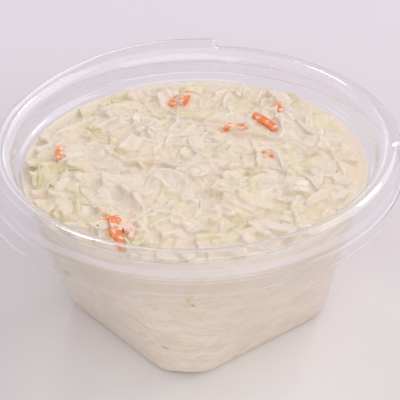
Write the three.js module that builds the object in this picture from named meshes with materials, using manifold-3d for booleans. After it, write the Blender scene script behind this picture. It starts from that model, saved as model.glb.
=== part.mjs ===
// Coleslaw in a clear plastic cup. Millimetres, +Z up, the cup standing on z = 0.
// The cup is one formed sheet: a square foot with round corners, side faces that run out
// into a round mouth, a ledge, a wide flat rim and a skirt that hangs outside it.
// The coleslaw is one heap: a core that fills the cup, with the chips, shreds and carrot
// of its surface fused on.

import * as THREE from 'three';
import { mergeVertices } from 'three/addons/utils/BufferGeometryUtils.js';
import Module from 'manifold-3d';

const SHEET = 0.7; // thickness of the formed plastic
const GAP = 0.35; // between the coleslaw and the plastic

// Foot and wall, measured to the middle of the sheet. Corners are round, sides are flat.
const CORNER_AZIMUTH = -97; // degrees; the round corner that faces the front
const FOOT_CORNER = 42.6;
const FOOT_SIDE = 35.45;
const CORNER_FILLET = 3.3;
const SIDE_FILLET = 0.4;
const FILLET_RISE = 2.4;
const SIDE_DRAFT = 0.46; // outward run of a flat side for each millimetre up
const EDGE_SOFTNESS = 0.3; // rounding where a flat side meets a corner
const PANEL_RADIUS = 27; // the raised panel in the middle of the foot
const PANEL_RISE = 1.4;
const PANEL_SLOPE = 2;
const WALL_LEVELS = [9, 18, 28, 39, 50];

// Mouth, as [radius, height]: up the ledge, over the flat rim and down the outside.
const WALL_TOP = [60.6, 58.33];
const LEDGE = [61.9, 60.53];
const RIM_INSIDE = [63.7, 67.63];
const RIM_CREST = [66.4, 68.43];
const RIM_EDGE = [70, 67.83];
const SKIRT_FOLD = [72.2, 58.43];
const LIP_END = [73.5, 54.43];
const LIP_SHIFT = 1.3; // the lip is trimmed this far off centre, towards -X
const AXIS_X = 1.29; // where the cup's axis stands, so that the lip's box is centred

// The rim's edge steps up and out at two nicks, and runs back to its level anticlockwise.
const NICKS = [
  { azimuth: 85, length: 74, up: 2.8, out: 0.2 },
  { azimuth: -2, length: 60, up: 0.3, out: 1.1 },
];
const NICK_WIDTH = 1; // degrees
const COLUMNS = 60;

// Coleslaw: the heap's core.
const FILL_LEVEL = 57.53; // where the coleslaw meets the wall
const HEAP_RISE = 1.4; // how much higher its middle lies
const LUMP_HEIGHT = 0.9;
const HEAP_RINGS = 6;

// Coleslaw: the cut pieces on top.
const SEED = 41;
const SPREAD_RADIUS = 54;
const HEAP_LIMIT = 58.6; // pieces stay inside this radius
const HEAP_TOP = 62.93; // and below this height
const PIECE_SHIFT = 5; // how far a piece may lie from its even spot
const CHIP_COUNT = 62;
const CHIP_CORNERS = 6;
const CHIP_SIZE = [4.2, 7.4]; // half lengths
const CHIP_NARROWING = 0.72; // width against length
const CHIP_REACH = [0.75, 1.25]; // how uneven its outline is
const CHIP_DOME = [-0.4, 1];
const CHIP_THICKNESS = [1.8, 2.8];
const CHIP_LIFT = [1, 1.8];
const CHIP_TILT = 0.4; // radians
const SHRED_COUNT = 44;
const SHRED_STEPS = 3;
const SHRED_LENGTH = [13, 27];
const SHRED_WIDTH = [2, 3.4];
const SHRED_THICKNESS = 1.3;
const SHRED_BEND = 0.17; // sideways bow against length
const SHRED_CURL = [-0.6, 1];
const SHRED_LIFT = [1.2, 2];
const SHRED_TILT = 0.09;
const CARROT_THICKNESS = 2.4;
const CARROT_LIFT = 1.2;
const CARROT_TILT = 0.1;
// Each carrot piece: x, y, length, yaw in degrees.
const CARROTS = [
  [-6.4, 41.4, 7, 62],
  [-2.6, 39.8, 7, 62],
  [25.3, 25.9, 12.6, -49],
  [14.2, 19.8, 9, -3],
  [30.9, 35.9, 5, -56],
  [-47.3, 5.5, 7, -85],
  [-25.2, -37.5, 11, -100],
  [-26.1, -46.4, 9, -68],
];

const { degToRad, euclideanModulo, lerp, radToDeg, smoothstep } = THREE.MathUtils;

function seededRandom(seed) {
  let state = seed;
  return () => {
    state = (state * 16807) % 2147483647;
    return state / 2147483647;
  };
}

// A random value between two ends, and one on either side of zero.
const between = ([low, high], random) => lerp(low, high, random());
const within = (limit, random) => lerp(-limit, limit, random());

// Azimuth measured from the middle of the nearest flat side, in radians.
function angleFromSide(azimuth) {
  const quarter = Math.PI / 2;
  const turn = azimuth - degToRad(CORNER_AZIMUTH + 45);
  return euclideanModulo(turn + quarter / 2, quarter) - quarter / 2;
}

// Radius of a round corner or flat side, whichever is nearer, with a soft change between them.
function footprint(azimuth, corner, side) {
  const flat = side / Math.cos(angleFromSide(azimuth));
  const blend = Math.exp(-Math.abs(corner - flat) / EDGE_SOFTNESS);
  return Math.min(corner, flat) - EDGE_SOFTNESS * Math.log(1 + blend);
}

function wallRadius(azimuth, height) {
  const corner = lerp(FOOT_CORNER + CORNER_FILLET, WALL_TOP[0], height / WALL_TOP[1]);
  const side = FOOT_SIDE + SIDE_FILLET + SIDE_DRAFT * height;
  return footprint(azimuth, corner, side);
}

// The middle of the sheet from the centre of the foot to the top of the wall.
function bowlPath(azimuth) {
  const floor = SHEET / 2;
  const foot = footprint(azimuth, FOOT_CORNER, FOOT_SIDE);
  const path = [
    [0, floor + PANEL_RISE],
    [PANEL_RADIUS, floor + PANEL_RISE],
    [PANEL_RADIUS + PANEL_SLOPE, floor],
    [foot, floor],
    [wallRadius(azimuth, FILLET_RISE), floor + FILLET_RISE],
  ];
  for (const level of WALL_LEVELS) {
    path.push([wallRadius(azimuth, level), level]);
  }
  return path;
}

// How far the rim's edge stands above and outside its plain line at this azimuth.
function nickStep(azimuth) {
  const step = { up: 0, out: 0 };
  for (const nick of NICKS) {
    const past = euclideanModulo(radToDeg(azimuth) - nick.azimuth + 1e-6, 360);
    const share = 1 - smoothstep(past, nick.length * 0.15, nick.length);
    step.up += nick.up * share;
    step.out += nick.out * share;
  }
  return step;
}

// The middle of the sheet from the top of the wall to the end of the outer lip.
function mouthPath(azimuth) {
  const step = nickStep(azimuth);
  return [
    WALL_TOP,
    LEDGE,
    RIM_INSIDE,
    [RIM_CREST[0], RIM_CREST[1] + step.up / 3],
    [RIM_EDGE[0] + step.out, RIM_EDGE[1] + step.up],
    SKIRT_FOLD,
    [LIP_END[0] - LIP_SHIFT * Math.cos(azimuth), LIP_END[1]],
  ];
}

// Shift a path sideways. Positive is towards the food and over the top of the rim.
function offsetPath(path, distance) {
  return path.map(([radius, height], i) => {
    const here = new THREE.Vector2(radius, height);
    const before = new THREE.Vector2(...path[Math.max(i - 1, 0)]);
    const after = new THREE.Vector2(...path[Math.min(i + 1, path.length - 1)]);
    const incoming = here.clone().sub(before).normalize();
    const outgoing = after.sub(here).normalize();
    const along = incoming.clone().add(outgoing).normalize();
    const ends = i === 0 || i === path.length - 1;
    const reach = ends ? distance : distance / along.dot(incoming);
    return [i === 0 ? 0 : radius - along.y * reach, height + along.x * reach];
  });
}

// The azimuths of the facets, shared by the cup and the coleslaw so that they run side by side.
function columnAzimuths() {
  const steps = [];
  for (const { azimuth } of NICKS) {
    steps.push(euclideanModulo(azimuth - NICK_WIDTH, 360), euclideanModulo(azimuth, 360));
  }
  for (let i = 0; i < COLUMNS; i++) {
    const azimuth = (i * 360) / COLUMNS;
    const apart = (step) => Math.abs(euclideanModulo(azimuth - step + 180, 360) - 180);
    if (steps.slice(0, 2 * NICKS.length).every((step) => apart(step) > 2)) {
      steps.push(azimuth);
    }
  }
  return steps.sort((a, b) => a - b).map(degToRad);
}

// A closed body of columns round +Z. A column runs from the axis outwards along the
// underside and back to the axis along the top. From the station turnBack on, the quads
// are split along their other diagonal, so that both faces of a sheet are split alike.
function columnBody(turnBack, columnAt) {
  const azimuths = columnAzimuths();
  const columns = azimuths.map(columnAt);
  const size = columns[0].length;
  const points = columns.flatMap((column, c) => column.map(([radius, height]) => {
    const x = radius * Math.cos(azimuths[c]);
    const y = radius * Math.sin(azimuths[c]);
    return new THREE.Vector3(x, y, height);
  }));
  const index = [];
  for (let c = 0; c < columns.length; c++) {
    for (let k = 0; k < size - 1; k++) {
      const a = c * size + k;
      const b = ((c + 1) % columns.length) * size + k;
      if (k === 0) {
        index.push(a, b + 1, a + 1);
      } else if (k === size - 2) {
        index.push(a, b, a + 1);
      } else if (k < turnBack) {
        index.push(a, b, b + 1, a, b + 1, a + 1);
      } else {
        index.push(a, b, a + 1, b, b + 1, a + 1);
      }
    }
  }
  return mergeVertices(new THREE.BufferGeometry().setFromPoints(points).setIndex(index), 1e-4);
}

function cupGeometry() {
  const turnBack = bowlPath(0).length + mouthPath(0).length;
  return columnBody(turnBack, (azimuth) => {
    const path = [...bowlPath(azimuth), ...mouthPath(azimuth)];
    const under = offsetPath(path, -SHEET / 2);
    const over = offsetPath(path, SHEET / 2);
    return [...under, ...over.reverse()];
  });
}

// Height of the core's top: a low mound with broad lumps that fade out at the wall.
function coreHeight(x, y, edge) {
  const out = Math.min(Math.hypot(x, y) / edge, 1);
  const mound = HEAP_RISE * (1 - out * out);
  const lumps = Math.sin(x * 0.21 + 1.3) * Math.cos(y * 0.17) + Math.sin(x * 0.09 - y * 0.26);
  return FILL_LEVEL + mound + LUMP_HEIGHT * lumps * (1 - out ** 6);
}

function coreGeometry() {
  return columnBody(Infinity, (azimuth) => {
    const wall = [...bowlPath(azimuth), WALL_TOP];
    const side = offsetPath(wall, SHEET / 2 + GAP);
    const [edge] = side.pop();
    side.push([edge, FILL_LEVEL]);
    for (let ring = 1; ring <= HEAP_RINGS; ring++) {
      const radius = edge * (1 - ring / HEAP_RINGS);
      const x = radius * Math.cos(azimuth);
      const y = radius * Math.sin(azimuth);
      side.push([radius, coreHeight(x, y, edge)]);
    }
    return side;
  });
}

// A cut leaf chip: an uneven outline, slightly domed, both faces split alike.
function chipGeometry(random) {
  const thickness = between(CHIP_THICKNESS, random);
  const size = between(CHIP_SIZE, random);
  const points = [new THREE.Vector3(0, 0, between(CHIP_DOME, random))];
  for (let i = 0; i < CHIP_CORNERS; i++) {
    const angle = ((i + random() / 2) * 2 * Math.PI) / CHIP_CORNERS;
    const reach = size * between(CHIP_REACH, random);
    const y = CHIP_NARROWING * reach * Math.sin(angle);
    points.push(new THREE.Vector3(reach * Math.cos(angle), y, 0));
  }
  const below = points.map((point) => point.clone().setZ(point.z - thickness));
  const index = [];
  const under = points.length;
  for (let i = 1; i <= CHIP_CORNERS; i++) {
    const next = (i % CHIP_CORNERS) + 1;
    index.push(0, i, next);
    index.push(under, under + next, under + i);
    index.push(i, under + i, under + next, i, under + next, next);
  }
  return new THREE.BufferGeometry().setFromPoints([...points, ...below]).setIndex(index);
}

// A shred: a strip along a shallow bend that narrows towards both ends.
function shredGeometry(random) {
  const length = between(SHRED_LENGTH, random);
  const width = between(SHRED_WIDTH, random);
  const bend = within(SHRED_BEND, random) * length;
  const curl = between(SHRED_CURL, random);
  const points = [];
  const index = [];
  for (let i = 0; i <= SHRED_STEPS; i++) {
    const along = i / SHRED_STEPS - 0.5;
    const bow = 1 - 4 * along * along;
    const half = (width / 4) * (1 + bow);
    const left = bend * bow - half;
    const right = bend * bow + half;
    const x = along * length;
    const z = curl * bow;
    points.push(new THREE.Vector3(x, left, z - SHRED_THICKNESS));
    points.push(new THREE.Vector3(x, right, z - SHRED_THICKNESS));
    points.push(new THREE.Vector3(x, right, z));
    points.push(new THREE.Vector3(x, left, z));
  }
  for (let i = 0; i < SHRED_STEPS; i++) {
    for (let side = 0; side < 4; side++) {
      const a = i * 4 + side;
      const b = i * 4 + ((side + 1) % 4);
      index.push(a, b, b + 4, a, b + 4, a + 4);
    }
  }
  const end = SHRED_STEPS * 4;
  index.push(0, 3, 2, 0, 2, 1, end, end + 1, end + 2, end, end + 2, end + 3);
  return new THREE.BufferGeometry().setFromPoints(points).setIndex(index);
}

function carrotGeometry(length) {
  const stick = new THREE.BoxGeometry(length, CARROT_THICKNESS, CARROT_THICKNESS);
  stick.deleteAttribute('normal');
  stick.deleteAttribute('uv');
  return mergeVertices(stick);
}

// Lay a piece on the core at x, y, turned by yaw, tilted both ways and lifted.
function layOn(geometry, [x, y], yaw, tilt, roll, lift) {
  const turn = new THREE.Euler(roll, tilt, yaw, 'ZYX');
  geometry.applyMatrix4(new THREE.Matrix4().makeRotationFromEuler(turn));
  return geometry.translate(x, y, coreHeight(x, y, WALL_TOP[0]) + lift);
}

// Even spots over the heap, turned by the golden angle, each moved a little.
function scatter(count, random) {
  const golden = Math.PI * (3 - Math.sqrt(5));
  const start = random() * 2 * Math.PI;
  return Array.from({ length: count }, (unused, i) => {
    const radius = SPREAD_RADIUS * Math.sqrt((i + 0.5) / count);
    const angle = start + i * golden;
    const x = radius * Math.cos(angle) + within(PIECE_SHIFT / 2, random);
    const y = radius * Math.sin(angle) + within(PIECE_SHIFT / 2, random);
    return [x, y];
  });
}

function insideHeap(geometry) {
  const position = geometry.getAttribute('position');
  for (let i = 0; i < position.count; i++) {
    if (Math.hypot(position.getX(i), position.getY(i)) > HEAP_LIMIT || position.getZ(i) > HEAP_TOP) {
      return false;
    }
  }
  return true;
}

function surfacePieces() {
  const random = seededRandom(SEED);
  const pieces = [];
  for (const spot of scatter(CHIP_COUNT, random)) {
    const yaw = within(Math.PI, random);
    const tilt = within(CHIP_TILT, random);
    const roll = within(CHIP_TILT, random);
    pieces.push(layOn(chipGeometry(random), spot, yaw, tilt, roll, between(CHIP_LIFT, random)));
  }
  for (const spot of scatter(SHRED_COUNT, random)) {
    const yaw = within(Math.PI, random);
    const tilt = within(SHRED_TILT, random);
    pieces.push(layOn(shredGeometry(random), spot, yaw, tilt, 0, between(SHRED_LIFT, random)));
  }
  for (const [x, y, length, yaw] of CARROTS) {
    const stick = carrotGeometry(length);
    pieces.push(layOn(stick, [x, y], degToRad(yaw), CARROT_TILT, CARROT_TILT, CARROT_LIFT));
  }
  return pieces.filter(insideHeap);
}

const wasm = await Module();
wasm.setup();

function toManifold(geometry) {
  const vertProperties = new Float32Array(geometry.getAttribute('position').array);
  const triVerts = new Uint32Array(geometry.index.array);
  return new wasm.Manifold(new wasm.Mesh({ numProp: 3, vertProperties, triVerts }));
}

// The largest connected solid: sealed hollows and loose scraps drop out.
function largestSolid(manifold) {
  const solids = manifold.decompose();
  return solids.sort((a, b) => b.volume() - a.volume())[0];
}

function toGeometry(manifold) {
  const mesh = manifold.getMesh();
  const geometry = new THREE.BufferGeometry();
  geometry.setAttribute('position', new THREE.BufferAttribute(mesh.vertProperties, 3));
  geometry.setIndex(new THREE.BufferAttribute(mesh.triVerts, 1));
  return geometry;
}

function coleslawGeometry() {
  const solids = [coreGeometry(), ...surfacePieces()].map(toManifold);
  return toGeometry(largestSolid(wasm.Manifold.union(solids)));
}

function part(name, geometry, material) {
  geometry.translate(AXIS_X, 0, 0);
  geometry.computeVertexNormals();
  const mesh = new THREE.Mesh(geometry, material);
  mesh.name = name;
  return mesh;
}

const clearPlastic = new THREE.MeshStandardMaterial({
  color: 0xf4f6f8,
  roughness: 0.08,
  metalness: 0,
  transparent: true,
  opacity: 0.25,
});
const dressedCabbage = new THREE.MeshStandardMaterial({
  color: 0xebe4cd,
  roughness: 0.35,
  metalness: 0,
});

const coleslawCup = new THREE.Group();
coleslawCup.add(part('clear_cup', cupGeometry(), clearPlastic));
coleslawCup.add(part('coleslaw', coleslawGeometry(), dressedCabbage));

export default coleslawCup;
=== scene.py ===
"""Creamy coleslaw in a clear formed plastic cup, made in the order it is put together."""

import math
import random

import bmesh
import bpy
from mathutils import Euler, Matrix, Vector, noise
from mathutils.bvhtree import BVHTree


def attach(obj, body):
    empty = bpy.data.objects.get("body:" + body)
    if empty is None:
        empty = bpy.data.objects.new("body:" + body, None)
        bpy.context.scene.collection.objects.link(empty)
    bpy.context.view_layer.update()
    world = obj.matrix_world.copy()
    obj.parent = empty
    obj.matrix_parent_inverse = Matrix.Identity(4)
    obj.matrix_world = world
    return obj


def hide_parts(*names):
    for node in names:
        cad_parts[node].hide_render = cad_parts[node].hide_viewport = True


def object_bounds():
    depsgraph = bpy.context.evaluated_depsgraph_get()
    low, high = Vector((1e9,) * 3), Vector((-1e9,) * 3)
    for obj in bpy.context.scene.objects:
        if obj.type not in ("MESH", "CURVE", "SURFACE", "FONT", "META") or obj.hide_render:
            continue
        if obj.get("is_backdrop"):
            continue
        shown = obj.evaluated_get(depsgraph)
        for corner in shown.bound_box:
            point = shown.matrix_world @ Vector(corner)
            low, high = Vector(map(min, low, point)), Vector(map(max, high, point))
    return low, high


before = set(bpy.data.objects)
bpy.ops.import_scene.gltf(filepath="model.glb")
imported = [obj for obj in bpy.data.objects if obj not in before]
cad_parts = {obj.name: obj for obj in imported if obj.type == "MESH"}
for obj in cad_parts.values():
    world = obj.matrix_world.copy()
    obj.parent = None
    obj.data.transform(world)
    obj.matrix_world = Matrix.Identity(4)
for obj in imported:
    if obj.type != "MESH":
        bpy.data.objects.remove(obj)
cad_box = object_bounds()

# ---------------------------------------------------------------------------------------
# The cup: one sheet of clear PET, formed hot over a mould. It stands on a square foot with
# round corners, whose flat sides die out in the round wall. Above a small ledge comes the
# wide rim that takes the lid, and outside it a skirt with the lip where the cup was cut out.

MM = 0.001
# Where the drawing's zero lies: on the cup's axis, off the middle because of its lip, and
# above the table, which the foot reaches down to.
AXIS = Vector((1.29, 0, 1.93)) * MM

SHEET = 0.32
FOOT_LEVEL = -1.58
FOOT_CORNER = 42.6
FOOT_SIDE = 35.45
FOOT_PANEL = 29
PANEL_LEVEL = -0.18
SIDE_FILLET = 0.3
SIDE_DRAFT = 0.46
EDGE_SOFTNESS = 0.6
CORNER_AZIMUTH = math.radians(-97)
WALL_FOOT = 46.2
WALL_START = 1.3  # the height from which the round wall runs up straight
WALL_LEAN = 0.2603  # outwards for each millimetre up
WALL_EDGE = 60.8
SKIRT_FOLD = 56.5
SKIRT_RADIUS = 70.9
RIM_INSIDE = 63.7
RIM_CREST = 67.2
RIM_EDGE = 70.4
RIM_SHOULDER = 65.3  # the height from which a nick has its whole step
LIP_LEVEL = 52.5
LIP_SHIFT = 1.3
SPIN_STEPS = 360
MILKY_SKIRT = (59.0, 61.5)  # heights
MILKY_BEND = (63.55, 65.8)  # radii, above the milky level
MILKY_LEVEL = 64
MOST_BOUNCES = 6  # of light inside the sheet

# Middle of the sheet from the centre of the foot to the lip: radius, height, bend radius.
FOOT_PROFILE = [
    (0, PANEL_LEVEL, 0),
    (27, PANEL_LEVEL, 0.7),
    (FOOT_PANEL, FOOT_LEVEL, 0.7),
    (FOOT_CORNER, FOOT_LEVEL, 0.5),
    (WALL_FOOT, WALL_START, 1.0),
]
CUP_PROFILE = [
    *FOOT_PROFILE,
    (60.7, 57.0, 1.2),
    (62.9, 57.9, 1.0),
    (RIM_INSIDE, 65.2, 2.6),
    (RIM_CREST, 66.5, 0.9),
    (RIM_EDGE, 65.8, 1.0),
    (71.2, 61.6, 0),
    (71.5, 58.9, 0),
    (71.6, 57.6, 0.5),
    (72.6, 57.1, 0.4),
    (73.0, 53.1, 0.4),
    (73.7, 52.6, 0),
]

# The rim's edge steps up and out at two nicks and runs back to its level anticlockwise.
NICKS = [
    {"azimuth": 82.8, "length": 72, "up": 2.8, "out": 0.2},
    {"azimuth": -4.5, "length": 62, "up": 0.3, "out": 1.1},
]


def clamp(value, low=0.0, high=1.0):
    return min(max(value, low), high)


def smoothstep(value, low, high):
    share = clamp((value - low) / (high - low))
    return share * share * (3 - 2 * share)


def footprint(azimuth, corner, side):
    """Radius of the round corner or the flat side, whichever is nearer the axis."""
    quarter = math.pi / 2
    turn = azimuth - CORNER_AZIMUTH - quarter / 2
    flat = side / math.cos((turn + quarter / 2) % quarter - quarter / 2)
    blend = math.exp(-abs(corner - flat) / EDGE_SOFTNESS)
    return min(corner, flat) - EDGE_SOFTNESS * math.log(1 + blend)


def wall_radius(height):
    return WALL_FOOT + WALL_LEAN * (height - WALL_START)


def side_distance(height):
    rise = clamp((height - FOOT_LEVEL) / 1.1)
    return FOOT_SIDE + SIDE_FILLET * rise + SIDE_DRAFT * (height - FOOT_LEVEL)


def square_the_foot(bm):
    """Press the four flat sides into a body of revolution that has the corners' profile."""
    for vert in bm.verts:
        radius = math.hypot(vert.co.x, vert.co.y)
        if radius < FOOT_PANEL or radius > WALL_EDGE:
            continue
        azimuth = math.atan2(vert.co.y, vert.co.x)
        if radius < FOOT_CORNER:
            share = (radius - FOOT_PANEL) / (FOOT_CORNER - FOOT_PANEL)
            foot = footprint(azimuth, FOOT_CORNER, side_distance(FOOT_LEVEL))
            scale = 1 + share * (foot / FOOT_CORNER - 1)
        else:
            scale = footprint(azimuth, radius, side_distance(vert.co.z)) / radius
        vert.co.x *= scale
        vert.co.y *= scale


def spin_profile(profile, steps):
    """Draw a profile as a chain of edges, round its bends, and turn it once round +Z."""
    bm = bmesh.new()
    verts = [bm.verts.new((radius, 0, height)) for radius, height, bend in profile]
    for before, after in zip(verts, verts[1:]):
        bm.edges.new((before, after))
    for vert, (radius, height, bend) in zip(verts, profile):
        if bend:
            bmesh.ops.bevel(
                bm, geom=[vert], offset=bend, offset_type="OFFSET", segments=4,
                profile=0.5, affect="VERTICES", material=-1,
            )
    long_edges = [edge for edge in bm.edges if edge.calc_length() > 30]
    bmesh.ops.subdivide_edges(bm, edges=long_edges, cuts=15)
    bmesh.ops.spin(
        bm, geom=bm.verts[:] + bm.edges[:], cent=(0, 0, 0), axis=(0, 0, 1),
        angle=2 * math.pi, steps=steps, use_merge=True,
    )
    bmesh.ops.remove_doubles(bm, verts=bm.verts[:], dist=0.001)
    bmesh.ops.recalc_face_normals(bm, faces=bm.faces[:])
    return bm


def nick_step(azimuth):
    """How far the rim's edge stands up and out of its plain line."""
    up = out = 0.0
    for nick in NICKS:
        past = (math.degrees(azimuth) - nick["azimuth"] + 0.01) % 360
        share = 1 - smoothstep(past, nick["length"] * 0.15, nick["length"])
        up += nick["up"] * share
        out += nick["out"] * share
    return up, out


def trim_the_mouth(bm):
    """Raise the rim at its nicks and cut the lip off centre."""
    for vert in bm.verts:
        radius = math.hypot(vert.co.x, vert.co.y)
        if radius < RIM_INSIDE:
            continue
        azimuth = math.atan2(vert.co.y, vert.co.x)
        up, out = nick_step(azimuth)
        share = clamp((radius - RIM_INSIDE) / (RIM_CREST - RIM_INSIDE)) / 3
        share += clamp((radius - RIM_CREST) / (RIM_EDGE - RIM_CREST)) * 2 / 3
        if radius > RIM_CREST:
            share *= clamp((vert.co.z - SKIRT_FOLD) / (RIM_SHOULDER - SKIRT_FOLD))
        cut = 0.0
        if radius > SKIRT_RADIUS:
            cut = clamp((SKIRT_FOLD - vert.co.z) / (SKIRT_FOLD - LIP_LEVEL))
        grown = 1 + (out * share - LIP_SHIFT * math.cos(azimuth) * cut) / radius
        vert.co = Vector((vert.co.x * grown, vert.co.y * grown, vert.co.z + up * share))


def make_mesh(bm, name):
    """Turn a finished drawing into a mesh, and let the drawing go."""
    mesh = bpy.data.meshes.new(name)
    bm.to_mesh(mesh)
    bm.free()
    return mesh


def put_in_scene(name, data):
    holder = bpy.data.objects.new(name, data)
    bpy.context.collection.objects.link(holder)
    return holder


def settle(bm, name, *materials, flat=False):
    """Make a piece of a mesh that was drawn in millimetres round the cup's axis."""
    bmesh.ops.scale(bm, vec=(MM, MM, MM), verts=bm.verts[:])
    bmesh.ops.translate(bm, vec=AXIS, verts=bm.verts[:])
    for face in bm.faces:
        face.smooth = not flat
    piece = put_in_scene(name, make_mesh(bm, name))
    for material in materials:
        piece.data.materials.append(material)
    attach(piece, "root")
    return piece


def set_inputs(tree, node, inputs):
    """Set a node's inputs to plain values, or link them to other nodes' outputs."""
    for name, value in inputs.items():
        if isinstance(value, bpy.types.NodeSocket):
            tree.links.new(value, node.inputs[name])
        else:
            node.inputs[name].default_value = value


def add_node(tree, kind, inputs, **settings):
    node = tree.nodes.new(kind)
    for name, value in settings.items():
        setattr(node, name, value)
    set_inputs(tree, node, inputs)
    return node


def new_material(name, finish):
    """A material with a finish all over, its node tree and shader, and the place on the
    piece that its patterns are laid out by."""
    material = bpy.data.materials.new(name)
    material.use_nodes = True
    tree = material.node_tree
    shader = tree.nodes["Principled BSDF"]
    set_inputs(tree, shader, finish)
    place = tree.nodes.new("ShaderNodeTexCoord").outputs["Object"]
    return material, tree, shader, place


def add_noise(tree, vector, scale, detail=3.0, roughness=0.5, output="Fac"):
    inputs = {"Vector": vector, "Scale": scale, "Detail": detail, "Roughness": roughness}
    return add_node(tree, "ShaderNodeTexNoise", inputs).outputs[output]


def add_range(tree, value, low, high, to_low=0.0, to_high=1.0):
    return add_node(tree, "ShaderNodeMapRange", {
        "Value": value, "From Min": low, "From Max": high, "To Min": to_low, "To Max": to_high,
    }).outputs["Result"]


def add_math(tree, operation, *values):
    """One step of arithmetic, on sockets and plain numbers."""
    inputs = dict(enumerate(values))
    return add_node(tree, "ShaderNodeMath", inputs, operation=operation).outputs["Value"]


def add_bump(tree, height, distance, strength, shader):
    inputs = {"Height": height, "Distance": distance, "Strength": strength}
    bump = add_node(tree, "ShaderNodeBump", inputs)
    tree.links.new(bump.outputs["Normal"], shader.inputs["Normal"])


def let_light_past(tree, shader):
    """Lamp light and light from the food go straight through a sheet as thin as this one,
    and so does light that has bounced about inside it for long."""
    path = add_node(tree, "ShaderNodeLightPath", {})
    share = add_math(tree, "GREATER_THAN", path.outputs["Ray Depth"], MOST_BOUNCES)
    for name in ("Is Diffuse Ray", "Is Shadow Ray"):
        share = add_math(tree, "MAXIMUM", path.outputs[name], share)
    see_through = add_node(tree, "ShaderNodeBsdfTransparent", {
        "Color": (0.985, 0.985, 0.987, 1),
    })
    choice = add_node(tree, "ShaderNodeMixShader", {
        "Fac": share, 1: shader.outputs["BSDF"], 2: see_through.outputs["BSDF"],
    })
    tree.links.new(choice.outputs["Shader"], tree.nodes["Material Output"].inputs["Surface"])


clear_sheet, tree, shader, place = new_material("clear_formed_sheet", {
    "Base Color": (0.99, 0.99, 0.995, 1), "Transmission Weight": 1, "IOR": 1.5,
})
waves = add_noise(tree, place, 60, 1)
tree.links.new(add_range(tree, waves, 0.3, 0.7, 0.02, 0.07), shader.inputs["Roughness"])
add_bump(tree, waves, 0.0006, 0.18, shader)
let_light_past(tree, shader)

cut_edge, tree, shader, place = new_material("whitened_cut_edge", {
    "Base Color": (0.86, 0.84, 0.87, 1), "Transmission Weight": 0.65,
})
saw_marks = add_noise(tree, place, 900, 2)
tree.links.new(add_range(tree, saw_marks, 0.3, 0.7, 0.3, 0.55), shader.inputs["Roughness"])

# Half-way down the skirt and round the bend inside the rim the sheet is made faintly milky:
# painted sheen, standing in for the light that the plastic reflects and carries there.
sheen_band_sheet, tree, shader, place = new_material("milky_sheen_band", {
    "Base Color": (0.99, 0.97, 1, 1), "Transmission Weight": 0.84, "IOR": 1.5,
})
waves = add_noise(tree, place, 60, 1)
tree.links.new(add_range(tree, waves, 0.3, 0.7, 0.1, 0.2), shader.inputs["Roughness"])
let_light_past(tree, shader)

bm = spin_profile(CUP_PROFILE, SPIN_STEPS)
# Faces in the bands of painted sheen take the milky material.
for face in bm.faces:
    middle = face.calc_center_median()
    radius = math.hypot(middle.x, middle.y)
    on_skirt = radius > RIM_EDGE and MILKY_SKIRT[0] < middle.z < MILKY_SKIRT[1]
    on_bend = MILKY_BEND[0] < radius < MILKY_BEND[1] and middle.z > MILKY_LEVEL
    if on_skirt or on_bend:
        face.material_index = 2
square_the_foot(bm)
trim_the_mouth(bm)
cup = settle(bm, "clear_cup_sheet", clear_sheet, cut_edge, sheen_band_sheet)
wall = cup.modifiers.new("sheet thickness", "SOLIDIFY")
wall.thickness = SHEET * MM
wall.offset = 0
wall.material_offset_rim = 1
edge = cup.modifiers.new("trimmed edge", "BEVEL")
edge.width = 0.2 * MM
edge.segments = 3
edge.limit_method = "ANGLE"
edge.angle_limit = math.radians(50)
edge.harden_normals = True
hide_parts("clear_cup")

# ---------------------------------------------------------------------------------------
# The fill: coleslaw pressed into the cup. Dressing and cut cabbage lie flat against the
# plastic and wet it, so the fill's side is drawn in the middle of the sheet. Long shreds
# show there as faint streaks, and the odd bit of leaf or carrot as a small patch.

FILL_TOP = 52.0
FILL_PROFILE = [
    *FOOT_PROFILE,
    (wall_radius(FILL_TOP), FILL_TOP, 0),
    (58.5, FILL_TOP + 0.6, 0),
    (0, FILL_TOP + 0.6, 0),
]

CREAM = (0.85, 0.75, 0.655, 1)
BEIGE = (0.79, 0.68, 0.565, 1)
LEAF_YELLOW = (0.84, 0.73, 0.50, 1)
MIX_COLOURS = (6, 7)  # where a mix node takes its two colours
MIXED_COLOUR = 2


def add_mix(tree, share, first, second):
    """Mix two colours, each an output or a plain colour."""
    inputs = {"Factor": share, MIX_COLOURS[0]: first, MIX_COLOURS[1]: second}
    return add_node(tree, "ShaderNodeMix", inputs, data_type="RGBA").outputs[MIXED_COLOUR]


def add_stretch(tree, vector, x, y, z):
    inputs = {"Vector": vector, "Scale": (x, y, z)}
    return add_node(tree, "ShaderNodeMapping", inputs).outputs["Vector"]


def add_slant(tree, vector, tilt, length):
    """Draw a pattern out along a slope."""
    return add_node(tree, "ShaderNodeMapping", {
        "Vector": vector, "Scale": (1, 1, 1 / length),
        "Rotation": (math.radians(tilt), math.radians(tilt), 0),
    }, vector_type="TEXTURE").outputs["Vector"]


def add_split(tree, colour):
    """The red, green and blue of a pattern, as three patterns."""
    return add_node(tree, "ShaderNodeSeparateColor", {"Color": colour}).outputs


def add_cells(tree, vector, scale):
    """Patches that stand for single pieces, each with its own red, green and blue."""
    cells = add_node(tree, "ShaderNodeTexVoronoi", {"Vector": vector, "Scale": scale})
    return add_split(tree, cells.outputs["Color"])


def add_axes(tree, place):
    return add_node(tree, "ShaderNodeSeparateXYZ", {"Vector": place}).outputs


def let_light_in(tree, shader, weight, depth):
    """Light goes a little way into the food, red farthest."""
    set_inputs(tree, shader, {
        "Subsurface Weight": weight, "Subsurface Radius": (1.0, 0.97, 0.94),
        "Subsurface Scale": depth * MM,
    })


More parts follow.
